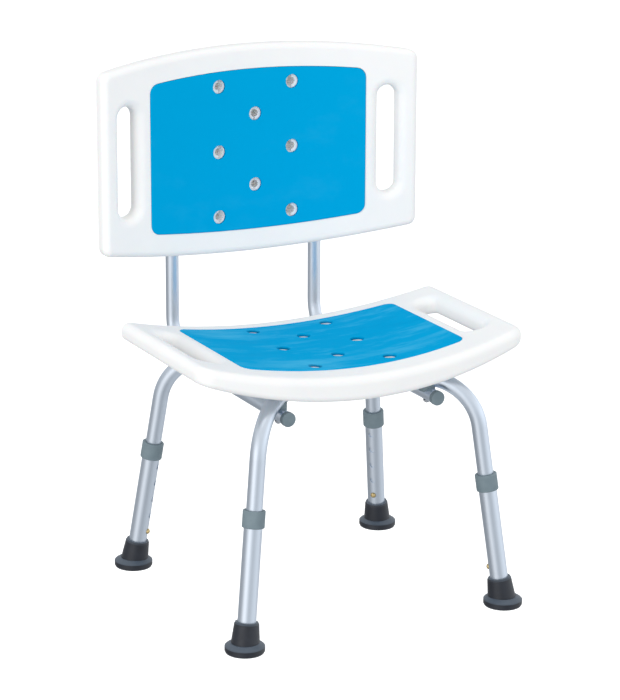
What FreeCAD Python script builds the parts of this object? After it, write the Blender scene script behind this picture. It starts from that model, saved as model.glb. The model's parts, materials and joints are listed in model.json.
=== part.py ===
"""Shower chair: two curved plastic panels with foam pads, a crossed tube frame and four telescopic legs.

Millimetres, +Z up. X is the sitter's left to right as seen from the front, and the front is at -Y.
The model is built about the point on the floor midway between the feet, and written out with its
origin at the floor, in the middle of the whole chair's width and depth.
"""

import FreeCAD, Part
import math
import os

V = FreeCAD.Vector

# ---- leg frame -------------------------------------------------------------------------------
PLAN_ANGLE = 42.08        # a leg's direction in plan, from the X axis, in degrees
FOOT_RADIUS = 273.1       # from the middle of the frame to a foot, on the floor
LEG_LEAN = 9.05           # a leg's lean from vertical, in degrees
RUN_Z = 323.0             # axis height of the frame's horizontal runs
FRAME_OD = 22.2
FRAME_WALL = 1.6
FRAME_BEND_R = 75.0       # centreline radius of the bend from run to leg
FLAT_HALF_HEIGHT = 4.7    # the tubes are pressed flat where they cross
FLAT_HALF_LENGTH = 20.0
FLAT_BLEND = 22.0         # length over which a round tube turns flat
CROSSING_GAP = 0.1        # between the two flattened tubes

# ---- telescopic lower legs -------------------------------------------------------------------
LOWER_OD = 25.4
LOWER_BORE = 22.8
LOWER_START = 10.0        # distances along a leg are measured from the floor
LOWER_END = 189.0
UPPER_START = 44.0        # lower end of the frame tube, inside the lower leg
HOLE_FIRST = 57.0
HOLE_PITCH = 25.4
HOLE_COUNT = 5
HOLE_R = 4.3
COLLAR_START = 170.0
COLLAR_END = 194.0
COLLAR_R = 15.5
COLLAR_EDGE = 1.4
COLLAR_LIP_R = 11.4       # the lip guides the upper tube

# ---- rubber feet -----------------------------------------------------------------------------
FOOT_R = 27.5
FOOT_RIM = 8.5            # height of the base's upright rim
FOOT_SHOULDER = 13.5      # height at which the neck leaves the base
FOOT_NECK_R_LOW = 20.0
FOOT_NECK_R_TOP = 17.0
FOOT_NECK_END = 41.0
FOOT_EDGE = 2.5
TREAD_DEPTH = 1.2
TREAD_RINGS = ((13.0, 16.0), (19.0, 22.0))
WASHER_THICK = 1.5

# ---- snap buttons ----------------------------------------------------------------------------
BUTTON_R = 3.9
BUTTON_REACH = 16.0       # from the leg's axis to the tip of the dome
BUTTON_DOME = 2.2
LEAF_FACE = 8.5           # from the leg's axis to the outside of the spring's leaf
LEAF_THICK = 0.8
LEAF_WIDTH = 7.0
LEAF_START = 49.0
LEAF_STRAIGHT = 16.0
LEAF_FOLD = 104.0
FOLD_R = 3.4

# ---- seat and backrest panels ----------------------------------------------------------------
PANEL_BULGE = 22.0        # how far the long edges bow out in the middle
BEND_R = 923.6            # radius of the face that the sitter leans on
REAR_EDGE_R = 8.0
SKIN = 3.0                # wall of the blow-moulded hollow panel
RIM_SKIN = 4.0
SLOT_SKIN = 6.0           # thicker, to clear the broad rounding at the face
SEAT_HALF_W = 251.5
SEAT_CORNER_R = (26.0, 14.0)  # front and rear corners
SEAT_HALF_DEPTH = 154.0
SEAT_THICK_MID = 34.5
SEAT_THICK_END = 25.0
SEAT_FACE_EDGE_R = 11.0
SEAT_OUTLINE_SHIFT = -6.0  # the seat's outline reaches further forward than its pad
BACK_HALF_W = 251.5
BACK_CORNER_R = (13.0, 14.0)  # lower and upper corners
BACK_HALF_HEIGHT = 150.7
BACK_THICK = 28.0
BACK_FACE_EDGE_R = 9.0
BACK_OUTLINE_SHIFT = 0.2
SLOT_X = 209.5            # hand slots
SLOT_HALF_W = 15.0
SLOT_HALF_L = 79.0
SLOT_FACE_EDGE_R = 13.0
SLOT_REAR_EDGE_R = 6.0
PAD_HALF_W = 172.0
PAD_HALF_MID = 117.0
PAD_BULGE = 10.4
PAD_CORNER_R = (15.0, 15.0)
PAD_CLEARANCE = 0.4
RECESS_DEPTH = 3.2
PAD_PROUD = 0.3
DRAIN_COLUMN_X = 58.3
DRAIN_ROW_Y = 94.3
DRAIN_MIDDLE_Y = 51.6
DRAIN_PAD_R = 10.0
DRAIN_THROUGH_R = 5.5
DRAIN_CONE_DEPTH = 9.0
DRAINS = [(x, y) for x in (-DRAIN_COLUMN_X, DRAIN_COLUMN_X) for y in (-DRAIN_ROW_Y, 0.0, DRAIN_ROW_Y)]
DRAINS += [(0.0, -DRAIN_MIDDLE_Y), (0.0, DRAIN_MIDDLE_Y)]

# ---- where the panels stand ------------------------------------------------------------------
SEAT_Y = -5.2             # middle of the drain pattern on the seat's face
SEAT_Z = 357.6
BACK_Y = 204.0            # middle of the drain pattern on the backrest's face
BACK_Z = 597.2
RECLINE = 1.36            # degrees

# ---- back tubes ------------------------------------------------------------------------------
BACK_TUBE_OD = 19.05
BACK_TUBE_WALL = 1.5
BACK_TUBE_X = 115.8
BACK_TUBE_RUN_Z = 301.4
BACK_TUBE_CORNER_Y = 234.7  # where the run and the upright would meet
BACK_TUBE_BEND_R = 55.0
BACK_TUBE_FRONT_Y = -128.6
BACK_TUBE_TOP_V = 2.0     # top end, above the middle of the drain pattern
CAP_R = 10.3
CAP_HEAD = 8.0
CAP_PLUG = 14.0
CAP_EDGE = 1.2
SOCKET_R = 13.6           # moulded sockets behind the backrest
SOCKET_LOW_V = -131.0
SOCKET_TOP_V = 18.0
SOCKET_BORE_R = 9.6
SCREW_V = (-105.0, -25.0)

# ---- fasteners -------------------------------------------------------------------------------
BOLT_R = 2.95
BOLT_HOLE_R = 3.3
BOLT_HEAD_R = 5.2
BOLT_HEAD_H = 4.8
BOLT_END_Z = 349.0
CENTRE_BOLT_END_Z = 346.0
INSERT_R = 4.8
INSERT_BORE_R = 3.0
INSERT_START_Z = 336.0
INSERT_LENGTH = 13.0
BOSS_R = 9.0
SCREW_R = 2.1
SCREW_HEAD_R = 4.2
SCREW_HEAD_H = 2.4
SCREW_LENGTH = 40.0
SCREW_FLAT_DEPTH = 1.0    # the screw heads bear on flats cut into the sockets
SADDLE_R = 11.5
SADDLE_LOW_Z = 305.5
SADDLE_TOP_Z = 318.5

FIT = 0.1                 # gap left round a piece that is clamped or glued in place
OVERCUT = 1.0             # how far a cutter reaches past what it cuts
REACH = 1200.0            # longer than any part, for cutting tools
ON_SURFACE = 0.05         # an edge nearer than this to a surface lies on it

CORNERS = {
    "front_left": (-1, -1),
    "front_right": (1, -1),
    "back_right": (1, 1),
    "back_left": (-1, 1),
}
SIDES = {"left": -1, "right": 1}

LEAN = math.radians(LEG_LEAN)
RUN_CORNER = FOOT_RADIUS - RUN_Z * math.tan(LEAN)   # where a run and its leg would meet


def frame_from(origin, x_axis, y_axis, z_axis):
    """Placement that carries local X, Y and Z to the given directions."""
    matrix = FreeCAD.Matrix(
        x_axis.x, y_axis.x, z_axis.x, origin.x,
        x_axis.y, y_axis.y, z_axis.y, origin.y,
        x_axis.z, y_axis.z, z_axis.z, origin.z,
        0, 0, 0, 1,
    )
    return FreeCAD.Placement(matrix)


def placed(shape, placement):
    return shape.transformed(placement.toMatrix(), copy=True)


def fused(shapes):
    return shapes[0].multiFuse(shapes[1:]).removeSplitter()


def leg_placement(corner):
    """Local Z climbs the leg from the floor, and local X faces the middle of the frame."""
    sx, sy = corner
    angle = math.radians(PLAN_ANGLE)
    outward = V(sx * math.cos(angle), sy * math.sin(angle), 0)
    climb = outward * -math.sin(LEAN) + V(0, 0, math.cos(LEAN))
    inward = outward * -math.cos(LEAN) + V(0, 0, -math.sin(LEAN))
    return frame_from(outward * FOOT_RADIUS, inward, climb.cross(inward), climb)


def pipe(points, bend_radius, radius):
    """Round bar along three points, with one tangent bend at the middle point."""
    start, corner, end = points
    into = (corner - start).normalize()
    out = (end - corner).normalize()
    turn = into.getAngle(out)
    tangent = bend_radius * math.tan(turn / 2)
    first = corner - into * tangent
    last = corner + out * tangent
    halfway = (out - into).normalize()
    middle = corner + halfway * (bend_radius / math.cos(turn / 2) - bend_radius)
    path = Part.Wire([
        Part.LineSegment(start, first).toShape(),
        Part.Arc(first, middle, last).toShape(),
        Part.LineSegment(last, end).toShape(),
    ])
    ring = Part.Wire(Part.Circle(start, into, radius).toShape())
    return path.makePipeShell([ring], True, False)


def flat_section(x, drop, half_height, straight):
    """Flattened-tube outline across the run: two flats joined by half rounds."""
    side = straight / 2
    top = drop + half_height
    low = drop - half_height
    return Part.Wire([
        Part.LineSegment(V(x, -side, top), V(x, side, top)).toShape(),
        Part.Arc(V(x, side, top), V(x, side + half_height, drop), V(x, side, low)).toShape(),
        Part.LineSegment(V(x, side, low), V(x, -side, low)).toShape(),
        Part.Arc(V(x, -side, low), V(x, -side - half_height, drop), V(x, -side, top)).toShape(),
    ])


def round_section(x, radius):
    """Round-tube outline in four arcs, to match the four edges of a flattened one."""
    def at(degrees):
        turn = math.radians(degrees)
        return V(x, radius * math.sin(turn), radius * math.cos(turn))

    arcs = [(-45, 0, 45), (45, 90, 135), (135, 180, 225), (225, 270, 315)]
    return Part.Wire([Part.Arc(at(a), at(b), at(c)).toShape() for a, b, c in arcs])


def frame_bar(growth, drop, leg_start):
    """One bent leg pair as a solid bar: leg, bend, run pressed flat in the middle, bend, leg."""
    radius = FRAME_OD / 2 + growth
    half_height = FLAT_HALF_HEIGHT + growth
    straight = math.pi * (FRAME_OD / 2 - FLAT_HALF_HEIGHT)
    blend_end = FLAT_HALF_LENGTH + FLAT_BLEND
    flat = Part.Face(flat_section(-FLAT_HALF_LENGTH, drop, half_height, straight))
    pieces = [flat.extrude(V(2 * FLAT_HALF_LENGTH, 0, 0))]
    for side in (-1, 1):
        foot = V(side * (FOOT_RADIUS - leg_start * math.sin(LEAN)), 0, leg_start * math.cos(LEAN) - RUN_Z)
        corner = V(side * RUN_CORNER, 0, 0)
        pieces.append(pipe([foot, corner, V(side * blend_end, 0, 0)], FRAME_BEND_R, radius))
        pieces.append(Part.makeLoft([
            round_section(side * blend_end, radius),
            flat_section(side * FLAT_HALF_LENGTH, drop, half_height, straight),
        ], True, True))
    bar = fused(pieces)
    bar.translate(V(0, 0, RUN_Z))
    return bar


def turned(shape, angle):
    shape = shape.copy()
    shape.rotate(V(0, 0, 0), V(0, 0, 1), angle)
    return shape


def crossing_point(corner):
    """Where a back tube passes under the leg frame, in plan."""
    sx, sy = corner
    return V(sx * BACK_TUBE_X, sy * BACK_TUBE_X * math.tan(math.radians(PLAN_ANGLE)), 0)


def outer_bolt_points():
    return [crossing_point(corner) for corner in CORNERS.values()]


def insert_points():
    """Where the seat is bolted down: at the four crossings and in the middle of the frame."""
    return outer_bolt_points() + [V(0, 0, 0)]


def upright_hole(point, radius, low=0.0, high=REACH):
    return Part.makeCylinder(radius, high - low, V(point.x, point.y, low), V(0, 0, 1))


def frame_tube(angle, drop):
    """Leg pair: a bent aluminium tube with its bolt holes and a snap-button hole at each end."""
    outside = frame_bar(0.0, drop, UPPER_START)
    inside = frame_bar(-FRAME_WALL, drop, UPPER_START - OVERCUT)
    tube = turned(outside.cut(inside), angle)
    holes = [upright_hole(p, BOLT_HOLE_R) for p in insert_points()]
    for corner in CORNERS.values():
        hole = Part.makeCylinder(HOLE_R - FIT, LOWER_OD / 2, V(0, 0, HOLE_FIRST), V(1, 0, 0))
        holes.append(placed(hole, leg_placement(corner)))
    return tube.cut(Part.makeCompound(holes))


def lower_tube(corner):
    tube = Part.makeCylinder(LOWER_OD / 2, LOWER_END - LOWER_START, V(0, 0, LOWER_START))
    tube = tube.cut(Part.makeCylinder(LOWER_BORE / 2, REACH))
    for k in range(HOLE_COUNT):
        centre = V(0, 0, HOLE_FIRST + k * HOLE_PITCH)
        tube = tube.cut(Part.makeCylinder(HOLE_R, LOWER_OD, centre, V(1, 0, 0)))
    return placed(tube, leg_placement(corner))


def collar(corner):
    """Plastic bush on top of the lower tube, with an inner lip that guides the upper tube."""
    body = Part.makeCylinder(COLLAR_R, COLLAR_END - COLLAR_START, V(0, 0, COLLAR_START))
    body = body.makeFillet(COLLAR_EDGE, [e for e in body.Edges if e.Closed])
    seat = Part.makeCylinder(LOWER_OD / 2, LOWER_END - COLLAR_START, V(0, 0, COLLAR_START))
    body = body.cut(seat).cut(Part.makeCylinder(COLLAR_LIP_R, REACH))
    return placed(body, leg_placement(corner))


def revolved(profile):
    """Solid of revolution about Z from a list of (radius, height) points."""
    points = [V(r, 0, z) for r, z in profile]
    face = Part.Face(Part.makePolygon(points + points[:1]))
    return face.revolve(V(0, 0, 0), V(0, 0, 1), 360)


def foot_tip(corner):
    """Rubber foot: a wide base flat on the floor and a tapered neck that follows the leg."""
    place = leg_placement(corner)
    base = revolved([
        (0, 0), (FOOT_R - FOOT_EDGE / 2, 0), (FOOT_R, FOOT_EDGE), (FOOT_R, FOOT_RIM),
        (FOOT_R - FOOT_EDGE / 2, FOOT_RIM + FOOT_EDGE / 2), (FOOT_NECK_R_LOW, FOOT_SHOULDER),
        (0, FOOT_SHOULDER),
    ])
    for inner, outer in TREAD_RINGS:
        groove = [(inner, -OVERCUT), (outer, -OVERCUT), (outer, TREAD_DEPTH), (inner, TREAD_DEPTH)]
        base = base.cut(revolved(groove))
    base.translate(place.Base)
    neck_start = LOWER_START - WASHER_THICK
    neck = revolved([
        (0, neck_start), (FOOT_NECK_R_LOW, neck_start), (FOOT_NECK_R_TOP, FOOT_NECK_END - FOOT_EDGE),
        (FOOT_NECK_R_TOP - FOOT_EDGE / 2, FOOT_NECK_END), (0, FOOT_NECK_END),
    ])
    tip = base.fuse(placed(neck, place))
    bore = Part.makeCylinder(LOWER_OD / 2, REACH, V(0, 0, neck_start))
    return tip.cut(placed(bore, place)).removeSplitter()


def foot_washer(corner):
    """Steel disc that keeps the tube's end from cutting through the rubber."""
    disc = Part.makeCylinder(LOWER_OD / 2 - FIT, WASHER_THICK, V(0, 0, LOWER_START - WASHER_THICK))
    return placed(disc, leg_placement(corner))


def leg_button(corner):
    """Snap button: a short pin with a domed tip, standing on the spring's leaf."""
    shank = BUTTON_REACH - BUTTON_DOME
    dome_r = (BUTTON_R ** 2 + BUTTON_DOME ** 2) / (2 * BUTTON_DOME)
    pin = Part.makeCylinder(BUTTON_R, BUTTON_REACH - LEAF_FACE, V(LEAF_FACE, 0, 0), V(1, 0, 0))
    ball = Part.makeSphere(dome_r, V(BUTTON_REACH - dome_r, 0, 0))
    trunk = Part.makeCylinder(BUTTON_R, shank - LEAF_FACE, V(LEAF_FACE, 0, 0), V(1, 0, 0))
    pin = trunk.fuse(pin.common(ball)).removeSplitter()
    pin.translate(V(0, 0, HOLE_FIRST))
    return placed(pin, leg_placement(corner))


def spring_clip(corner):
    """Folded strip spring inside the upper tube; one leaf pushes the button out."""
    half = LEAF_WIDTH / 2
    bend = LEAF_START + LEAF_STRAIGHT
    ring = Part.makeCylinder(FOLD_R, LEAF_WIDTH, V(0, -half, LEAF_FOLD), V(0, 1, 0))
    ring = ring.cut(Part.makeCylinder(FOLD_R - LEAF_THICK, LEAF_WIDTH, V(0, -half, LEAF_FOLD), V(0, 1, 0)))
    fold = ring.common(Part.makeBox(4 * FOLD_R, LEAF_WIDTH, FOLD_R, V(-2 * FOLD_R, -half, LEAF_FOLD)))
    strips = [fold]
    for side in (-1, 1):
        outer = [(LEAF_FACE, LEAF_START), (LEAF_FACE, bend), (FOLD_R, LEAF_FOLD)]
        inner = [(x - LEAF_THICK, z) for x, z in reversed(outer)]
        points = [V(side * x, -half, z) for x, z in outer + inner]
        strips.append(Part.Face(Part.makePolygon(points + points[:1])).extrude(V(0, LEAF_WIDTH, 0)))
    return placed(fused(strips), leg_placement(corner))


def barrel(half_w, half_mid, bulge, corner_r, shift=0.0):
    """Flat face: straight short sides, bowed long sides and rounded corners.

    The first radius is that of the two corners at -Y, and the second of those at +Y.
    """
    bow_r = (half_w ** 2 + bulge ** 2) / (2 * bulge)
    bow_centre = half_mid - bow_r

    def point(sx, sy, x, y):
        return V(sx * x, shift + sy * y, 0)

    def corner_arc(sx, sy):
        radius = corner_r[0] if sy < 0 else corner_r[1]
        x = half_w - radius
        y = bow_centre + math.sqrt((bow_r - radius) ** 2 - x ** 2)
        touch = math.atan2(y - bow_centre, x)
        side = point(sx, sy, half_w, y)
        middle = point(sx, sy, x + radius * math.cos(touch / 2), y + radius * math.sin(touch / 2))
        bow = point(sx, sy, bow_r * math.cos(touch), bow_centre + bow_r * math.sin(touch))
        return side, middle, bow

    arcs = {(sx, sy): corner_arc(sx, sy) for sx, sy in CORNERS.values()}
    edges = [Part.Arc(*arc).toShape() for arc in arcs.values()]
    for s in (-1, 1):
        edges.append(Part.Arc(arcs[-1, s][2], point(0, s, 0, half_mid), arcs[1, s][2]).toShape())
        edges.append(Part.LineSegment(arcs[s, -1][0], arcs[s, 1][0]).toShape())
    return Part.Face(Part.Wire(Part.__sortEdges__(edges)))


def shrunk(radii, inset):
    return [radius - inset for radius in radii]


def stadium(half_w, half_l, centre):
    """Flat face: a slot outline with round ends, long along Y."""
    straight = half_l - half_w
    box = Part.makePlane(2 * half_w, 2 * straight, centre + V(-half_w, -straight, 0))
    ends = [Part.Face(Part.Wire(Part.Circle(centre + V(0, s * straight, 0), V(0, 0, 1), half_w).toShape()))
            for s in (-1, 1)]
    return fused([box] + ends)


def prism(face):
    """The face's full-height column, cut through everything above and below."""
    column = face.copy()
    column.translate(V(0, 0, -REACH / 2))
    return column.extrude(V(0, 0, REACH))


def trough(radius, depth):
    """Everything above a surface curved about Y, whose lowest line is `depth` below the face."""
    return Part.makeCylinder(radius, REACH, V(0, -REACH / 2, radius - depth), V(0, 1, 0))


def rear_radius(half_w, thick_mid, thick_end):
    """Radius of the rear surface, so that the panel is thick_end deep at its short sides."""
    face_rise = BEND_R - math.sqrt(BEND_R ** 2 - half_w ** 2)
    rear_rise = face_rise + thick_mid - thick_end
    return (half_w ** 2 + rear_rise ** 2) / (2 * rear_rise)


def slot_centres():
    return [V(s * SLOT_X, 0, 0) for s in (-1, 1)]


def rounded(body, surface_z, radius, is_slot):
    """Round the outline or the slot edges that lie on a curved surface."""
    def wanted(edge):
        middle = edge.valueAt((edge.FirstParameter + edge.LastParameter) / 2)
        near_slot = (abs(abs(middle.x) - SLOT_X) < SLOT_HALF_W + ON_SURFACE
                     and abs(middle.y) < SLOT_HALF_L + ON_SURFACE)
        return abs(middle.z - surface_z(middle.x)) < ON_SURFACE and near_slot == is_slot

    return body.makeFillet(radius, [e for e in body.Edges if wanted(e)])


def panel(half_w, half_mid, corner_r, shift, thick_mid, thick_end, face_edge_r):
    """Curved panel lying face up, with the middle of its face at the origin."""
    rear_r = rear_radius(half_w, thick_mid, thick_end)

    def face_z(x):
        return BEND_R - math.sqrt(BEND_R ** 2 - x ** 2)

    def rear_z(x):
        return rear_r - thick_mid - math.sqrt(rear_r ** 2 - x ** 2)

    body = prism(barrel(half_w, half_mid, PANEL_BULGE, corner_r, shift))
    body = body.common(trough(rear_r, thick_mid)).cut(trough(BEND_R, 0.0))
    body = rounded(body, face_z, face_edge_r, False)
    body = rounded(body, rear_z, REAR_EDGE_R, False)
    for centre in slot_centres():
        body = body.cut(prism(stadium(SLOT_HALF_W, SLOT_HALF_L, centre)))
    body = rounded(body, face_z, SLOT_FACE_EDGE_R, True)
    body = rounded(body, rear_z, SLOT_REAR_EDGE_R, True)
    recess = prism(barrel(PAD_HALF_W, PAD_HALF_MID, PAD_BULGE, PAD_CORNER_R))
    body = body.cut(recess.common(trough(BEND_R + RECESS_DEPTH, RECESS_DEPTH)))

    hollow = prism(barrel(half_w - RIM_SKIN, half_mid - RIM_SKIN, PANEL_BULGE,
                          shrunk(corner_r, RIM_SKIN), shift))
    hollow = hollow.common(trough(rear_r - SKIN, thick_mid - SKIN))
    hollow = hollow.cut(trough(BEND_R + RECESS_DEPTH + SKIN, RECESS_DEPTH + SKIN))
    for centre in slot_centres():
        hollow = hollow.cut(prism(stadium(SLOT_HALF_W + SLOT_SKIN, SLOT_HALF_L + SLOT_SKIN, centre)))
    for x, y in DRAINS:
        floor_z = face_z(x) - RECESS_DEPTH
        tip = V(x, y, floor_z - DRAIN_CONE_DEPTH)
        cone = Part.makeCone(DRAIN_THROUGH_R, DRAIN_PAD_R, DRAIN_CONE_DEPTH, tip)
        through = Part.makeCylinder(DRAIN_THROUGH_R, REACH, V(x, y, -REACH / 2))
        body = body.cut(fused([cone, through]))
        hollow = hollow.cut(Part.makeCylinder(DRAIN_PAD_R + SKIN, REACH, V(x, y, -REACH / 2)))
    return body, hollow


def pad():
    """Foam pad for either panel, lying face up in the panel's own frame."""
    sheet = prism(barrel(PAD_HALF_W - PAD_CLEARANCE, PAD_HALF_MID - PAD_CLEARANCE, PAD_BULGE,
                         shrunk(PAD_CORNER_R, PAD_CLEARANCE)))
    sheet = sheet.common(trough(BEND_R + RECESS_DEPTH - FIT, RECESS_DEPTH - FIT))
    sheet = sheet.cut(trough(BEND_R - PAD_PROUD, -PAD_PROUD))
    holes = [Part.makeCylinder(DRAIN_PAD_R, REACH, V(x, y, -REACH / 2)) for x, y in DRAINS]
    return sheet.cut(Part.makeCompound(holes))


def seat_placement():
    return FreeCAD.Placement(V(0, SEAT_Y, SEAT_Z), FreeCAD.Rotation())


def back_placement():
    """Local Y climbs the backrest and local Z faces the sitter."""
    lean = math.radians(RECLINE)
    climb = V(0, math.sin(lean), math.cos(lean))
    facing = V(0, -math.cos(lean), math.sin(lean))
    return frame_from(V(0, BACK_Y, BACK_Z), V(1, 0, 0), climb, facing)


def run_channel(growth):
    """Cutter for the two crossing grooves under the seat, open downwards."""
    radius = FRAME_OD / 2 + growth
    length = 2 * (RUN_CORNER - FRAME_BEND_R / 2)
    pieces = []
    for angle in (PLAN_ANGLE, -PLAN_ANGLE):
        rod = Part.makeCylinder(radius, length, V(-length / 2, 0, RUN_Z), V(1, 0, 0))
        mouth = Part.makeBox(length, 2 * radius, radius, V(-length / 2, -radius, RUN_Z - radius))
        pieces += [turned(rod, angle), turned(mouth, angle)]
    flat_half = FLAT_HALF_LENGTH + FLAT_BLEND + growth
    pieces.append(Part.makeCylinder(flat_half, radius + FRAME_OD / 2, V(0, 0, RUN_Z - FRAME_OD / 2)))
    return fused(pieces)


def seat_panel():
    body, hollow = panel(SEAT_HALF_W, SEAT_HALF_DEPTH, SEAT_CORNER_R, SEAT_OUTLINE_SHIFT,
                         SEAT_THICK_MID, SEAT_THICK_END, SEAT_FACE_EDGE_R)
    body = placed(body, seat_placement()).cut(run_channel(2 * FIT))
    hollow = placed(hollow, seat_placement()).cut(run_channel(SKIN))
    for point in insert_points():
        hollow = hollow.cut(upright_hole(point, BOSS_R))
        pocket = upright_hole(point, INSERT_R + FIT, RUN_Z, INSERT_START_Z + INSERT_LENGTH)
        body = body.cut(pocket)
    return body.cut(hollow)


def tube_axis_depth():
    """Distance from the backrest's local face plane back to the back tubes' axis."""
    lean = math.radians(RECLINE)
    rise = BACK_Z - BACK_TUBE_RUN_Z
    return (BACK_TUBE_CORNER_Y + rise * math.tan(lean) - BACK_Y) * math.cos(lean)


def screw_axis_start(side, v):
    """Under the head of a backrest screw, on the flat at the back of its socket."""
    return V(side * BACK_TUBE_X, v, -tube_axis_depth() - SOCKET_R + SCREW_FLAT_DEPTH)


def backrest_panel():
    body, hollow = panel(BACK_HALF_W, BACK_HALF_HEIGHT, BACK_CORNER_R, BACK_OUTLINE_SHIFT,
                         BACK_THICK, BACK_THICK, BACK_FACE_EDGE_R)
    depth = tube_axis_depth()
    height = SOCKET_TOP_V - SOCKET_LOW_V
    panel_only = body
    for side in SIDES.values():
        x = side * BACK_TUBE_X
        rod = Part.makeCylinder(SOCKET_R, height, V(x, SOCKET_LOW_V, -depth), V(0, 1, 0))
        web_start = V(x - SOCKET_R, SOCKET_LOW_V, -depth)
        web = Part.makeBox(2 * SOCKET_R, height, depth - BACK_THICK / 2, web_start)
        socket = fused([rod, web])
        top = [e for e in socket.Edges if abs(e.CenterOfMass.y - SOCKET_TOP_V) < ON_SURFACE]
        socket = socket.makeFillet(SOCKET_R / 3, top)
        socket = socket.cut(panel_only.common(socket))
        body = body.fuse(socket)
        column_start = V(x - SOCKET_R, SOCKET_LOW_V, -REACH / 2)
        hollow = hollow.cut(Part.makeBox(2 * SOCKET_R, height, REACH, column_start))
    body = body.removeSplitter()
    for side in SIDES.values():
        x = side * BACK_TUBE_X
        bore_start = V(x, SOCKET_LOW_V - OVERCUT, -depth)
        bore_length = BACK_TUBE_TOP_V - SOCKET_LOW_V + 2 * OVERCUT
        body = body.cut(Part.makeCylinder(SOCKET_BORE_R, bore_length, bore_start, V(0, 1, 0)))
        for v in SCREW_V:
            start = screw_axis_start(side, v)
            flat = Part.makeCylinder(SCREW_HEAD_R + OVERCUT, SOCKET_R, start, V(0, 0, -1))
            hole = Part.makeCylinder(SCREW_R + FIT, SCREW_LENGTH, start, V(0, 0, 1))
            body = body.cut(flat).cut(hole)
    return placed(body.cut(hollow), back_placement())


def back_tube(side):
    """One L-shaped tube: a run under the seat and an upright behind the backrest."""
    lean = math.radians(RECLINE)
    x = side * BACK_TUBE_X
    corner = V(x, BACK_TUBE_CORNER_Y, BACK_TUBE_RUN_Z)
    rise = BACK_Z - BACK_TUBE_RUN_Z + BACK_TUBE_TOP_V
    top = corner + V(0, rise * math.tan(lean), rise)
    front = V(x, BACK_TUBE_FRONT_Y, BACK_TUBE_RUN_Z)
    radius = BACK_TUBE_OD / 2
    tube = pipe([front, corner, top], BACK_TUBE_BEND_R, radius)
    beyond = (top - corner).normalize()
    inner = pipe([front - V(0, OVERCUT, 0), corner, top + beyond * OVERCUT], BACK_TUBE_BEND_R,
                 radius - BACK_TUBE_WALL)
    tube = tube.cut(inner)
    for point in outer_bolt_points():
        tube = tube.cut(upright_hole(point, BOLT_HOLE_R, high=RUN_Z))
    holes = [Part.makeCylinder(SCREW_R + FIT, SCREW_LENGTH, screw_axis_start(side, v), V(0, 0, 1))
             for v in SCREW_V]
    return tube.cut(placed(Part.makeCompound(holes), back_placement()))


def back_tube_cap(side):
    """Plastic plug with a rounded head in the front end of a back tube."""
    start = V(side * BACK_TUBE_X, BACK_TUBE_FRONT_Y, BACK_TUBE_RUN_Z)
    head = Part.makeCylinder(CAP_R, CAP_HEAD, start, V(0, -1, 0))
    head = head.makeFillet(CAP_EDGE, [e for e in head.Edges if e.Closed])
    plug = Part.makeCylinder(BACK_TUBE_OD / 2 - BACK_TUBE_WALL - FIT, CAP_PLUG, start, V(0, 1, 0))
    return fused([head, plug])


def domed_head(radius, height):
    """Button head under z = 0."""
    ball_r = (radius ** 2 + height ** 2) / (2 * height)
    ball = Part.makeSphere(ball_r, V(0, 0, ball_r - height))
    return ball.common(Part.makeCylinder(radius, height, V(0, 0, -height)))


def bolt(point, low, high):
    head = domed_head(BOLT_HEAD_R, BOLT_HEAD_H)
    body = head.fuse(Part.makeCylinder(BOLT_R, high - low)).removeSplitter()
    key = Part.makeCylinder(BOLT_R / 2, BOLT_HEAD_H / 2, V(0, 0, -BOLT_HEAD_H))
    body = body.cut(key)
    body.translate(V(point.x, point.y, low))
    return body


def seat_bolts():
    low = BACK_TUBE_RUN_Z - BACK_TUBE_OD / 2
    return Part.makeCompound([bolt(p, low, BOLT_END_Z) for p in outer_bolt_points()])


def centre_bolt():
    low = RUN_Z - CROSSING_GAP / 2 - 2 * FLAT_HALF_HEIGHT
    return bolt(V(0, 0, 0), low, CENTRE_BOLT_END_Z)


def seat_inserts():
    inserts = []
    for point in insert_points():
        body = upright_hole(point, INSERT_R, INSERT_START_Z, INSERT_START_Z + INSERT_LENGTH)
        inserts.append(body.cut(upright_hole(point, INSERT_BORE_R)))
    return Part.makeCompound(inserts)


def tube_saddle(corner, frame_solid):
    """Plastic spacer that beds a frame tube on the back tube under it."""
    point = crossing_point(corner)
    body = upright_hole(point, SADDLE_R, SADDLE_LOW_Z, SADDLE_TOP_Z)
    below = Part.makeCylinder(BACK_TUBE_OD / 2, REACH, V(point.x, -REACH / 2, BACK_TUBE_RUN_Z), V(0, 1, 0))
    return body.cut(below).cut(frame_solid).cut(upright_hole(point, BOLT_HOLE_R))


def backrest_screws():
    screws = []
    for side in SIDES.values():
        for v in SCREW_V:
            head = domed_head(SCREW_HEAD_R, SCREW_HEAD_H)
            screw = head.fuse(Part.makeCylinder(SCREW_R, SCREW_LENGTH - 1)).removeSplitter()
            screw.translate(screw_axis_start(side, v))
            screws.append(screw)
    return placed(Part.makeCompound(screws), back_placement())


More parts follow.
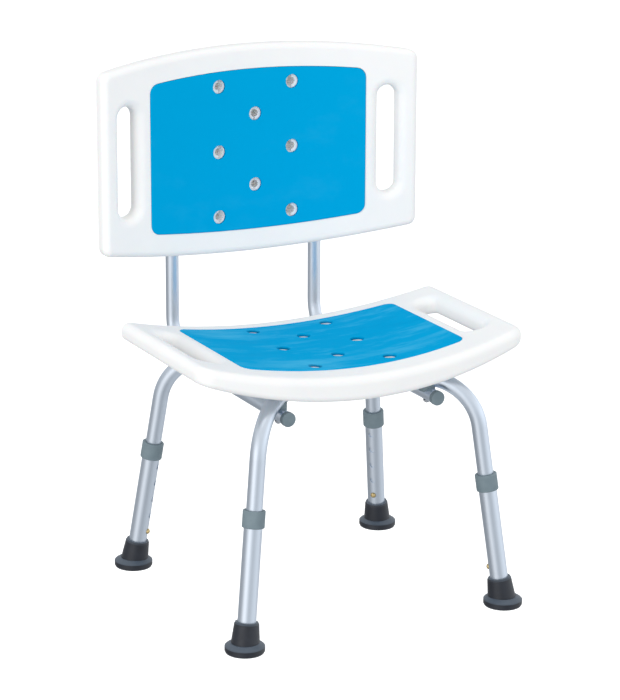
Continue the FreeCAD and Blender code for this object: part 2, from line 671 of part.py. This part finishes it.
def build():
    """All nodes by name, about the floor point midway between the feet."""
    lower_drop = -FLAT_HALF_HEIGHT - CROSSING_GAP / 2
    nodes = {
        "seat_panel": seat_panel(),
        "seat_pad": placed(pad(), seat_placement()),
        "backrest_panel": backrest_panel(),
        "backrest_pad": placed(pad(), back_placement()),
        "frame_tube_a": frame_tube(PLAN_ANGLE, lower_drop),
        "frame_tube_b": frame_tube(-PLAN_ANGLE, -lower_drop),
        "seat_bolts": seat_bolts(),
        "centre_bolt": centre_bolt(),
        "seat_inserts": seat_inserts(),
        "backrest_screws": backrest_screws(),
    }
    for name, side in SIDES.items():
        nodes[f"back_tube_{name}"] = back_tube(side)
        nodes[f"back_tube_cap_{name}"] = back_tube_cap(side)
    bars = {s: turned(frame_bar(0.0, s * -lower_drop, UPPER_START), -s * PLAN_ANGLE) for s in (-1, 1)}
    for name, corner in CORNERS.items():
        sx, sy = corner
        nodes[f"tube_saddle_{name}"] = tube_saddle(corner, bars[-sx * sy])
        nodes[f"lower_tube_{name}"] = lower_tube(corner)
        nodes[f"leg_collar_{name}"] = collar(corner)
        nodes[f"foot_tip_{name}"] = foot_tip(corner)
        nodes[f"foot_washer_{name}"] = foot_washer(corner)
        nodes[f"leg_button_{name}"] = leg_button(corner)
        nodes[f"spring_clip_{name}"] = spring_clip(corner)
    return nodes


def main():
    os.makedirs("parts", exist_ok=True)
    nodes = build()
    front = nodes["foot_tip_front_left"].BoundBox.YMin
    rear = nodes["backrest_screws"].BoundBox.YMax
    for name, shape in nodes.items():
        shape.translate(V(0, -(front + rear) / 2, 0))
        shape.exportStep(f"parts/{name}.step")
        box = shape.BoundBox
        print(f"{name:26s} solids {len(shape.Solids)} valid {shape.isValid()} volume {shape.Volume:10.0f}"
              f" y {box.YMin:7.1f} {box.YMax:7.1f}")
    print("shift in Y", -(front + rear) / 2)


main()
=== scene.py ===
import json
import math

import bpy
from mathutils import Matrix, Vector
from mathutils.geometry import delaunay_2d_cdt

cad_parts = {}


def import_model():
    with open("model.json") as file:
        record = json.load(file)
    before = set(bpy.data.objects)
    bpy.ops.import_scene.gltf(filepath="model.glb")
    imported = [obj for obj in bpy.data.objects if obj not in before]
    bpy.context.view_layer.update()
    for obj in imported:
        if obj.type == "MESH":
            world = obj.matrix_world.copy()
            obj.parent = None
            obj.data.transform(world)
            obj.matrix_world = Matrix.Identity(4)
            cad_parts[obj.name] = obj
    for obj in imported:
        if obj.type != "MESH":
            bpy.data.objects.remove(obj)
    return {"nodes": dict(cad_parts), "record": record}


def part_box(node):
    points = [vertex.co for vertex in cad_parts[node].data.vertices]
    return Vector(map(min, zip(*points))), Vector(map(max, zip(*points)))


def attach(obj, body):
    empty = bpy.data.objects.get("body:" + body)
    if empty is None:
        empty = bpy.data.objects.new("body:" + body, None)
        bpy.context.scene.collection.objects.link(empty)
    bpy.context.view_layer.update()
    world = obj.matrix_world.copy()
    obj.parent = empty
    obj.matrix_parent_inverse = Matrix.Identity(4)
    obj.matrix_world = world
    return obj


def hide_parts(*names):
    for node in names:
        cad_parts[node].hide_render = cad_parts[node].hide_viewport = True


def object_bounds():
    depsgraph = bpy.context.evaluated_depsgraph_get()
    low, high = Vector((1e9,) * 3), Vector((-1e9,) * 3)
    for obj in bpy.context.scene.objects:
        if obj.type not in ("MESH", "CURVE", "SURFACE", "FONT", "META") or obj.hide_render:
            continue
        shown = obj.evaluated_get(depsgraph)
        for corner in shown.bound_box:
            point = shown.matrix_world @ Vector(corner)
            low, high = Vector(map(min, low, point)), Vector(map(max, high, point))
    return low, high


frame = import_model()
CAD_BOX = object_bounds()
NODES = frame["nodes"]

MM = 0.001
BEND_R = 923.6 * MM      # radius of the seat's and the backrest's face
RECLINE = math.radians(1.36)

# ---- foam pads, in millimetres ---------------------------------------------------------------
DRAINS = [(x, y) for x in (-58.3, 58.3) for y in (-94.3, 0.0, 94.3)] + [(0.0, -51.6), (0.0, 51.6)]
DRAIN_R = 10.0
DRAIN_EDGE_R = 0.5
PAD_HALF_W = 171.6
PAD_HALF_MID = 116.6     # half the height at the middle of the bowed long sides
PAD_BULGE = 10.4
PAD_CORNER_R = 14.6
PAD_EDGE_R = 1.5
PAD_PROUD = 1.2          # above the panel's face
PAD_UNDER = -3.1         # underside, below the panel's face
PAD_MIDDLE_RISE = 7.5    # about how far the bent pad's middle stands in front of its face's middle
INSETS = (0.0, 0.25, 0.7, 1.3, 2.2)   # rows of points along each rounded edge
OUTER_RING = 4.0         # last row of points round a drain hole
STEP = 4.0               # spacing of points along the outline
GRID_SHARE = 0.8         # spacing of the inner points, as a share of the step
GRID_HALF = (60, 45)     # inner points to each side of the middle
EDGE_MARGIN = 1.5        # inner points keep this far from the last row at the outline
DRAIN_MARGIN = 5.5       # and this far from a drain hole
DRAIN_POINTS = 48
MERGE_WITHIN = 1e-5      # points closer than this become one
OUTLINE_SLACK = 0.05     # a triangle's middle may lie this far outside the outline
# Sets how much painted shade a pad's side walls get: none at the top, full at the underside.
SHADE_DEPTH_ATTRIBUTE = "painted_shade_depth"     # 0 on a pad's skin and 1 on its underside

# ---- camera ----------------------------------------------------------------------------------
VIEW_AZIMUTH = math.radians(-27.80)
VIEW_ELEVATION = math.radians(16.12)
VIEW_ROLL = math.radians(0.845)
VIEW_DISTANCE = 3.886
AIM_OFFSET = Vector((-0.0138, -0.0228, -0.0227))      # from the middle of the CAD box
LENS = 143.05
SENSOR = 36.0
CLIP_END = 100.0

# ---- studio ----------------------------------------------------------------------------------
FLOOR_Z = -0.1005        # as low as the feet reach with the legs at full length
FLOOR_HALF = 30.0
BACKDROP_R = 28.5
BACKDROP_SIDES = 64
BACKDROP_OVERLAP = 1.0   # how far the backdrop reaches below the floor
LIT_POINT = Vector((0, 0, 0.38))
# name, azimuth, elevation, distance, width, height, power, seen in reflections
SOFTBOXES = [
    ("key", -75, 14, 2.6, 1.6, 1.6, 21, False),
    ("fill", 5, 8, 3.0, 1.6, 1.8, 15, False),
    ("top", 0, 85, 2.6, 2.4, 2.4, 6.5, True),
]
# Brightness of the walls, by the angle in degrees from the camera, positive to its right.
COOL = (0.93, 0.965, 1.0)
NEUTRAL = (1.0, 1.0, 1.0)
WALLS = [
    (-180, 0.66, COOL), (-140, 0.60, COOL), (-100, 0.52, COOL), (-80, 0.60, COOL),
    (-60, 1.00, NEUTRAL), (-42, 1.42, NEUTRAL), (-22, 1.34, NEUTRAL), (-4, 0.92, COOL),
    (14, 0.72, COOL), (36, 0.80, COOL), (62, 1.05, COOL), (88, 1.20, COOL),
    (115, 1.15, COOL), (142, 1.00, COOL), (165, 0.80, COOL), (180, 0.66, COOL),
]
WALL_MAX = 1.5
WALL_HEIGHTS = (-0.55, 0.15)          # sine of the elevation, over which the walls brighten
WALL_SHARES = (0.52, 1.12)
CEILING = (0.84, 0.85, 0.86)
CEILING_HEIGHTS = (0.2, 0.6)
GROUND_GLOW = (0.60, 0.63, 0.66)
GROUND_HEIGHTS = (-0.45, -0.8)

# Sockets of a colour Mix node.
MIX_FACTOR, MIX_FIRST, MIX_SECOND, MIX_RESULT = 0, 6, 7, 2


# ---- small helpers ---------------------------------------------------------------------------

def face_rise(x):
    """How far the panel's face stands above its lowest line, at x from the middle."""
    return BEND_R - math.sqrt(BEND_R ** 2 - x * x)


def new_object(name, verts, faces, smooth=True):
    mesh = bpy.data.meshes.new(name)
    mesh.from_pydata([tuple(v) for v in verts], [], [tuple(f) for f in faces])
    mesh.validate()
    for poly in mesh.polygons:
        poly.use_smooth = smooth
    obj = bpy.data.objects.new(name, mesh)
    bpy.context.scene.collection.objects.link(obj)
    return obj


def set_material(obj, material):
    obj.data.materials.clear()
    obj.data.materials.append(material)


class Nodes:
    """A node tree, built node by node."""

    def __init__(self, tree):
        self.tree = tree

    def node(self, kind, **values):
        made = self.tree.nodes.new(kind)
        for key, value in values.items():
            setattr(made, key, value)
        return made

    def link(self, output, socket):
        self.tree.links.new(output, socket)

    def feed(self, socket, source):
        """Link a node's output to the socket, or set the socket to a colour."""
        if isinstance(source, tuple):
            socket.default_value = (*source, 1.0)
        else:
            self.link(source, socket)

    def mixed(self, factor, first, second):
        made = self.node("ShaderNodeMix", data_type="RGBA")
        self.link(factor, made.inputs[MIX_FACTOR])
        self.feed(made.inputs[MIX_FIRST], first)
        self.feed(made.inputs[MIX_SECOND], second)
        return made.outputs[MIX_RESULT]

    def ramp(self, value, stops):
        made = self.node("ShaderNodeValToRGB")
        elements = made.color_ramp.elements
        while len(elements) < len(stops):
            elements.new(0.5)
        for element, (place, colour) in zip(elements, stops):
            element.position = place
            element.color = (*colour, 1.0)
        self.link(value, made.inputs["Fac"])
        return made.outputs["Color"]

    def mapped(self, value, ends, targets):
        """Maps one range onto another, and holds the value beyond either end."""
        made = self.node("ShaderNodeMapRange")
        for key, number in zip(("From Min", "From Max", "To Min", "To Max"), (*ends, *targets)):
            made.inputs[key].default_value = number
        self.link(value, made.inputs["Value"])
        return made.outputs["Result"]

    def height_of(self, vector):
        split = self.node("ShaderNodeSeparateXYZ")
        self.link(vector, split.inputs["Vector"])
        return split.outputs["Z"]


# ---- materials -------------------------------------------------------------------------------

class Shader(Nodes):
    """A material's node tree."""

    def __init__(self, name):
        self.material = bpy.data.materials.new(name)
        self.material.use_nodes = True
        super().__init__(self.material.node_tree)
        self.bsdf = self.tree.nodes["Principled BSDF"]
        self.position = self.node("ShaderNodeTexCoord").outputs["Object"]

    def stretched(self, scale):
        mapping = self.node("ShaderNodeMapping")
        mapping.inputs["Scale"].default_value = scale
        self.link(self.position, mapping.inputs["Vector"])
        return mapping.outputs["Vector"]

    def noise(self, scale, detail=3.0, rough=0.5, vector=None):
        made = self.node("ShaderNodeTexNoise")
        made.inputs["Scale"].default_value = scale
        made.inputs["Detail"].default_value = detail
        made.inputs["Roughness"].default_value = rough
        self.link(vector or self.position, made.inputs["Vector"])
        return made.outputs["Fac"]

    def voronoi(self, scale):
        made = self.node("ShaderNodeTexVoronoi")
        made.inputs["Scale"].default_value = scale
        self.link(self.position, made.inputs["Vector"])
        return made.outputs["Distance"]

    def spread(self, noise, low, high):
        """Maps a noise's middle range onto low to high."""
        return self.mapped(noise, (0.3, 0.7), (low, high))

    def total(self, first, second, weight):
        """first + second * weight"""
        made = self.node("ShaderNodeMath", operation="MULTIPLY_ADD")
        made.inputs[1].default_value = weight
        self.link(second, made.inputs[0])
        self.link(first, made.inputs[2])
        return made.outputs["Value"]

    def bump(self, height, distance, strength):
        made = self.node("ShaderNodeBump")
        made.inputs["Distance"].default_value = distance
        made.inputs["Strength"].default_value = strength
        self.link(height, made.inputs["Height"])
        self.link(made.outputs["Normal"], self.bsdf.inputs["Normal"])

    def base(self, output):
        self.link(output, self.bsdf.inputs["Base Color"])

    def roughness(self, output):
        self.link(output, self.bsdf.inputs["Roughness"])

    def fixed(self, **values):
        for key, value in values.items():
            self.bsdf.inputs[key.replace("_", " ")].default_value = value


def hdpe():
    """White blow-moulded plastic: fine satin grain over a faint, broad unevenness."""
    s = Shader("white_hdpe")
    cloud = s.noise(9.0, 4.0, 0.6)
    s.base(s.ramp(cloud, [
        (0.30, (0.86, 0.86, 0.855)), (0.55, (0.885, 0.88, 0.87)), (0.75, (0.90, 0.895, 0.885)),
    ]))
    s.roughness(s.spread(s.noise(60.0), 0.42, 0.52))
    grain = s.noise(1400.0, 2.0)
    s.bump(s.total(s.noise(45.0, 2.0), grain, 0.25), 0.0004, 0.35)
    s.fixed(Specular_IOR_Level=0.45, Subsurface_Weight=0.08, Subsurface_Scale=0.004)
    return s.material


def eva(name, tone_and_sheen_streaks):
    """Blue closed-cell foam with fine pores and slow waves; its lighter streaks are painted sheen, and
    its side walls get painted shade, darker towards the underside.
    """
    s = Shader(name)
    foam = (0.0, 0.350, 0.662)
    # The darker colour is the foam's uneven tone; the lighter one is painted sheen, standing in for
    # the glossy wavy reflections on the foam.
    low = tuple(base - tone_and_sheen_streaks * drop for base, drop in zip(foam, (0.0, 0.03, 0.04)))
    high = tuple(base + tone_and_sheen_streaks * rise for base, rise in zip(foam, (0.05, 0.085, 0.05)))
    wave = s.noise(8.0, 7.0, 0.66, s.stretched((0.7, 3.0, 1.4)))
    skin_and_sheen = s.ramp(wave, [(0.30, low), (0.44, foam), (0.50, foam), (0.68, high)])
    # Painted shade: the drain holes' walls and the pads' sides darken towards the underside, where
    # shade falls inside the holes.
    depth = s.node("ShaderNodeAttribute", attribute_name=SHADE_DEPTH_ATTRIBUTE)
    s.base(s.mixed(depth.outputs["Fac"], skin_and_sheen, (0.0, 0.23, 0.50)))
    s.roughness(s.spread(s.noise(16.0, 4.0, 0.6, s.stretched((0.7, 2.2, 1.0))), 0.45, 0.6))
    waves = s.noise(22.0, 2.0, 0.4, s.stretched((0.5, 1.6, 1.0)))
    s.bump(s.total(waves, s.voronoi(900.0), 0.06), 0.0012, 0.35)
    s.fixed(Specular_IOR_Level=0.004)
    return s.material


def aluminium():
    """Satin anodised tube, with faint drawing lines and slow changes of shade along its length."""
    s = Shader("aluminium")
    shade = s.noise(14.0, 2.0, 0.4, s.stretched((1.0, 1.0, 0.3)))
    s.base(s.ramp(shade, [(0.3, (0.700, 0.765, 0.850)), (0.7, (0.725, 0.790, 0.875))]))
    lines = s.noise(180.0, 1.0, 0.3, s.stretched((2.0, 2.0, 0.02)))
    s.roughness(s.spread(lines, 0.32, 0.35))
    s.fixed(Metallic=1.0)
    return s.material


def grey_plastic():
    """Matt moulded plastic of the collars, plugs and saddles."""
    s = Shader("grey_plastic")
    cloud = s.noise(60.0)
    s.base(s.ramp(cloud, [(0.3, (0.155, 0.205, 0.232)), (0.7, (0.190, 0.245, 0.272))]))
    s.roughness(s.spread(s.noise(150.0), 0.45, 0.6))
    s.bump(s.noise(2600.0, 2.0), 0.0002, 0.25)
    s.fixed(Specular_IOR_Level=0.4)
    return s.material


def rubber():
    """Dark moulded rubber; the faces that look up are painted lighter and bluer, as painted light and
    sheen from above.
    """
    s = Shader("black_rubber")
    dust = s.noise(70.0, 5.0, 0.65)
    dark = s.ramp(dust, [(0.3, (0.005, 0.007, 0.013)), (0.75, (0.011, 0.015, 0.025))])
    # Painted light: faces that look up get a lighter, bluer colour in place of the light and the
    # ceiling's sheen that fall on them.
    upward = s.height_of(s.node("ShaderNodeNewGeometry").outputs["Normal"])
    painted_top_light = s.mapped(upward, (0.3, 0.8), (0.0, 1.0))
    s.base(s.mixed(painted_top_light, dark, (0.060, 0.082, 0.112)))
    s.roughness(s.spread(s.noise(200.0), 0.34, 0.46))
    s.bump(s.noise(1800.0), 0.0003, 0.2)
    s.fixed(Specular_IOR_Level=0.6)
    return s.material


def brass():
    """Slightly tarnished brass of the snap buttons and inserts."""
    s = Shader("brass")
    tarnish = s.noise(500.0)
    s.base(s.ramp(tarnish, [(0.3, (0.55, 0.40, 0.17)), (0.7, (0.78, 0.62, 0.33))]))
    s.roughness(s.spread(tarnish, 0.22, 0.38))
    s.fixed(Metallic=1.0)
    return s.material


def steel():
    """Zinc-plated steel of the bolts, screws, washers and springs."""
    s = Shader("steel")
    grain = s.noise(700.0)
    s.base(s.ramp(grain, [(0.3, (0.42, 0.43, 0.46)), (0.7, (0.58, 0.59, 0.62))]))
    s.roughness(s.spread(grain, 0.28, 0.42))
    s.fixed(Metallic=1.0)
    return s.material


# ---- foam pads -------------------------------------------------------------------------------

def corner_centre(half_w, half_mid, bow_r, corner_r):
    x = half_w - corner_r
    return x, half_mid - bow_r + math.sqrt((bow_r - corner_r) ** 2 - x ** 2)


def bow_radius(half_w):
    return (half_w ** 2 + PAD_BULGE ** 2) / (2 * PAD_BULGE)


def outline_loop(inset):
    """Points round the pad's outline: straight short sides, bowed long sides and round corners."""
    half_w = PAD_HALF_W - inset
    half_mid = PAD_HALF_MID - inset
    corner_r = PAD_CORNER_R - inset
    bow_r = bow_radius(half_w)
    bow_centre = half_mid - bow_r
    corner_x, corner_y = corner_centre(half_w, half_mid, bow_r, corner_r)
    touch = math.atan2(corner_y - bow_centre, corner_x)
    quarter = [(half_w, k * STEP) for k in range(round(corner_y / STEP))]
    count = round(2 * corner_r * touch / STEP)
    for k in range(count):
        turn = touch * k / count
        quarter.append((corner_x + corner_r * math.cos(turn), corner_y + corner_r * math.sin(turn)))
    count = round((math.pi / 2 - touch) * bow_r / STEP)
    for k in range(count):
        turn = touch + (math.pi / 2 - touch) * k / count
        quarter.append((bow_r * math.cos(turn), bow_centre + bow_r * math.sin(turn)))
    left_up = [(-x, y) for x, y in quarter[::-1]]
    left_down = [(-x, -y) for x, y in quarter if y > 0]
    right_down = [(x, -y) for x, y in quarter[::-1] if y > 0]
    return quarter + [(0.0, half_mid)] + left_up + left_down + [(0.0, -half_mid)] + right_down


def circle_loop(x, y, radius):
    turns = [2 * math.pi * k / DRAIN_POINTS for k in range(DRAIN_POINTS)]
    return [(x + radius * math.cos(turn), y + radius * math.sin(turn)) for turn in turns]


def edge_distance(x, y):
    """Distance inwards from the pad's outline."""
    bow_r = bow_radius(PAD_HALF_W)
    corner_x, corner_y = corner_centre(PAD_HALF_W, PAD_HALF_MID, bow_r, PAD_CORNER_R)
    if abs(x) > corner_x and abs(y) > corner_y:
        return PAD_CORNER_R - math.hypot(abs(x) - corner_x, abs(y) - corner_y)
    side = PAD_HALF_W - abs(x)
    bow = bow_r - math.hypot(x, abs(y) + bow_r - PAD_HALF_MID)
    return min(side, bow)


def drain_distance(x, y):
    """Distance outwards from the nearest drain hole."""
    return min(math.hypot(x - a, y - b) for a, b in DRAINS) - DRAIN_R


def rounding(distance, radius):
    """How far a rounded edge has dropped at that distance from the side."""
    short = radius - min(radius, max(0.0, distance))
    return radius - math.sqrt(radius ** 2 - short ** 2)


def top_height(x, y):
    return (PAD_PROUD - rounding(edge_distance(x, y), PAD_EDGE_R)
            - rounding(drain_distance(x, y), DRAIN_EDGE_R))


def flat_pad():
    """The pad's outline with its drain holes, in triangles: points and faces."""
    points, edges = [], []

    def add_loop(loop):
        first = len(points)
        points.extend(loop)
        edges.extend((first + k, first + (k + 1) % len(loop)) for k in range(len(loop)))

    for inset in INSETS:
        add_loop(outline_loop(inset))
    for x, y in DRAINS:
        for ring in (*INSETS, OUTER_RING):
            add_loop(circle_loop(x, y, DRAIN_R + ring))
    for i in range(-GRID_HALF[0], GRID_HALF[0] + 1):
        for j in range(-GRID_HALF[1], GRID_HALF[1] + 1):
            x, y = i * STEP * GRID_SHARE, j * STEP * GRID_SHARE
            if edge_distance(x, y) > INSETS[-1] + EDGE_MARGIN and drain_distance(x, y) > DRAIN_MARGIN:
                points.append((x, y))
    verts, _, triangles = delaunay_2d_cdt([Vector(p) for p in points], edges, [], 0, MERGE_WITHIN)[:3]

    kept = []
    for triangle in triangles:
        middle_x = sum(verts[i].x for i in triangle) / 3
        middle_y = sum(verts[i].y for i in triangle) / 3
        inside = edge_distance(middle_x, middle_y) > -OUTLINE_SLACK
        if inside and drain_distance(middle_x, middle_y) > 0:
            kept.append(triangle)
    used = sorted({i for triangle in kept for i in triangle})
    index = {old: new for new, old in enumerate(used)}
    return [(verts[i].x, verts[i].y) for i in used], [tuple(index[i] for i in face) for face in kept]


def foam_pad(name, place):
    """A closed foam sheet with rounded edges and eight drain holes, bent to the panel's curve."""
    flat, top_faces = flat_pad()
    count = len(flat)
    shape = [(x, y, top_height(x, y)) for x, y in flat] + [(x, y, PAD_UNDER) for x, y in flat]
    faces = top_faces + [tuple(i + count for i in reversed(face)) for face in top_faces]
    top_edges = [edge for a, b, c in top_faces for edge in ((a, b), (b, c), (c, a))]
    known = set(top_edges)
    faces += [(a, a + count, b + count, b) for a, b in top_edges if (b, a) not in known]
    bent = [Vector((x * MM, y * MM, face_rise(x * MM) + h * MM)) for x, y, h in shape]
    pad = new_object(name, [place @ v for v in bent], faces)
    depth = pad.data.attributes.new(SHADE_DEPTH_ATTRIBUTE, "FLOAT", "POINT")
    depth.data.foreach_set("value", [0.0] * count + [1.0] * count)
    return pad


def panel_places():
    """Where the middle of each face is, and which way it looks, from the CAD pads' boxes."""
    under = -PAD_UNDER * MM
    low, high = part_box("seat_pad")
    seat = Matrix.Translation(((low.x + high.x) / 2, (low.y + high.y) / 2, low.z + under))
    low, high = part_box("backrest_pad")
    rise = (high.z - low.z) / 2
    centre = Vector((0, 0, (high.z + low.z) / 2 - PAD_MIDDLE_RISE * MM * math.sin(RECLINE)))
    centre.y = high.y - under * math.cos(RECLINE) - rise * math.sin(RECLINE)
    facing = Vector((0, -math.cos(RECLINE), math.sin(RECLINE)))
    climb = Vector((0, math.sin(RECLINE), math.cos(RECLINE)))
    turn = Matrix((Vector((1, 0, 0)), climb, facing)).transposed().to_4x4()
    return seat, Matrix.Translation(centre) @ turn


def add_pads(seat_foam, backrest_foam):
    seat, back = panel_places()
    pads = [
        ("seat_foam", "seat_pad", seat, seat_foam),
        ("backrest_foam", "backrest_pad", back, backrest_foam),
    ]
    for name, node, place, material in pads:
        pad = foam_pad(name, place)
        set_material(pad, material)
        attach(pad, "chair")
        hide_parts(node)


# ---- stage -----------------------------------------------------------------------------------

def away(azimuth, elevation):
    """Unit vector from the chair towards a viewer at that azimuth and elevation."""
    return Vector((math.sin(azimuth) * math.cos(elevation),
                   -math.cos(azimuth) * math.cos(elevation), math.sin(elevation)))


def camera():
    low, high = CAD_BOX
    aim = (Vector(low) + Vector(high)) / 2 + AIM_OFFSET
    back = away(VIEW_AZIMUTH, VIEW_ELEVATION)
    right = Vector((math.cos(VIEW_AZIMUTH), math.sin(VIEW_AZIMUTH), 0))
    up = back.cross(right)
    tilted_right = right * math.cos(VIEW_ROLL) + up * math.sin(VIEW_ROLL)
    tilted_up = up * math.cos(VIEW_ROLL) - right * math.sin(VIEW_ROLL)
    data = bpy.data.cameras.new("camera")
    data.sensor_fit = "VERTICAL"
    data.sensor_height = SENSOR
    data.lens = LENS
    data.clip_end = CLIP_END
    made = bpy.data.objects.new("camera", data)
    axes = Matrix((tilted_right, tilted_up, back)).transposed().to_4x4()
    made.matrix_world = Matrix.Translation(aim + back * VIEW_DISTANCE) @ axes
    bpy.context.scene.collection.objects.link(made)
    bpy.context.scene.camera = made


def softbox(name, azimuth, elevation, distance, width, height, power, reflected):
    data = bpy.data.lights.new(name, "AREA")
    data.shape = "RECTANGLE"
    data.size = width
    data.size_y = height
    data.energy = power
    lamp = bpy.data.objects.new(name, data)
    place = LIT_POINT + away(math.radians(azimuth), math.radians(elevation)) * distance
    turn = (place - LIT_POINT).to_track_quat("Z", "Y").to_matrix().to_4x4()
    lamp.matrix_world = Matrix.Translation(place) @ turn
    lamp.visible_glossy = reflected
    bpy.context.scene.collection.objects.link(lamp)


def surroundings():
    """Pale ground and a backdrop of the same colour all round it.

    Both are hidden from bounced light, so the studio lights the object in their place.
    """
    h = FLOOR_HALF
    corners = [(x, y, FLOOR_Z) for x, y in ((-h, -h), (h, -h), (h, h), (-h, h))]
    ground = new_object("floor", corners, [(0, 1, 2, 3)], smooth=False)
    n = BACKDROP_SIDES
    turns = [2 * math.pi * k / n for k in range(n)]
    rim = [(BACKDROP_R * math.cos(turn), BACKDROP_R * math.sin(turn)) for turn in turns]
    verts = [(x, y, FLOOR_Z - BACKDROP_OVERLAP) for x, y in rim] + [(x, y, h) for x, y in rim]
    wall = new_object("backdrop", verts, [(k, (k + 1) % n, (k + 1) % n + n, k + n) for k in range(n)])
    wall.visible_shadow = False
    s = Shader("pale_floor")
    s.base(s.ramp(s.noise(0.8), [(0.3, (0.93, 0.93, 0.93)), (0.7, (0.95, 0.95, 0.95))]))
    s.fixed(Roughness=0.9, Specular_IOR_Level=0.1, Emission_Color=(1, 1, 1, 1), Emission_Strength=0.45)
    for stage in (ground, wall):
        set_material(stage, s.material)
        stage.visible_diffuse = False
        stage.visible_glossy = False


def world():
    """Soft studio: walls that differ in brightness all round, a bright ceiling and a dimmer ground."""
    made = bpy.data.worlds.new("studio")
    made.use_nodes = True
    studio = Nodes(made.node_tree)
    direction = studio.node("ShaderNodeTexCoord").outputs["Generated"]
    height = studio.height_of(direction)
    turned = studio.node("ShaderNodeMapping")
    turned.inputs["Rotation"].default_value = (0, 0, math.pi / 2 - VIEW_AZIMUTH)
    studio.link(direction, turned.inputs["Vector"])
    around = studio.node("ShaderNodeTexGradient", gradient_type="RADIAL")
    studio.link(turned.outputs["Vector"], around.inputs["Vector"])
    stops = [(0.5 + angle / 360, tuple(level / WALL_MAX * channel for channel in tint))
             for angle, level, tint in WALLS]
    walls = studio.node("ShaderNodeVectorMath", operation="SCALE")
    studio.link(studio.ramp(around.outputs["Fac"], stops), walls.inputs[0])
    levels = [share * WALL_MAX for share in WALL_SHARES]
    studio.link(studio.mapped(height, WALL_HEIGHTS, levels), walls.inputs["Scale"])
    covered = studio.mixed(studio.mapped(height, CEILING_HEIGHTS, (0.0, 1.0)),
                           walls.outputs["Vector"], CEILING)
    whole = studio.mixed(studio.mapped(height, GROUND_HEIGHTS, (0.0, 1.0)), covered, GROUND_GLOW)
    studio.link(whole, made.node_tree.nodes["Background"].inputs["Color"])
    bpy.context.scene.world = made
    settings = bpy.context.scene.view_settings
    settings.view_transform = "Standard"
    settings.look = "None"


def main():
    camera()
    world()
    surroundings()
    for box in SOFTBOXES:
        softbox(*box)
    looks = {
        "white_hdpe": hdpe(), "blue_eva": eva("blue_eva", 1.0), "aluminium": aluminium(),
        "grey_plastic": grey_plastic(), "black_rubber": rubber(), "brass": brass(), "steel": steel(),
    }
    for part in frame["record"]["subparts"]:
        set_material(NODES[part["node"]], looks[part["material_slot"]])
    # The backrest's foam gets far weaker streaks of tone and painted sheen than the seat's.
    add_pads(looks["blue_eva"], eva("blue_eva_even", 0.15))


main()
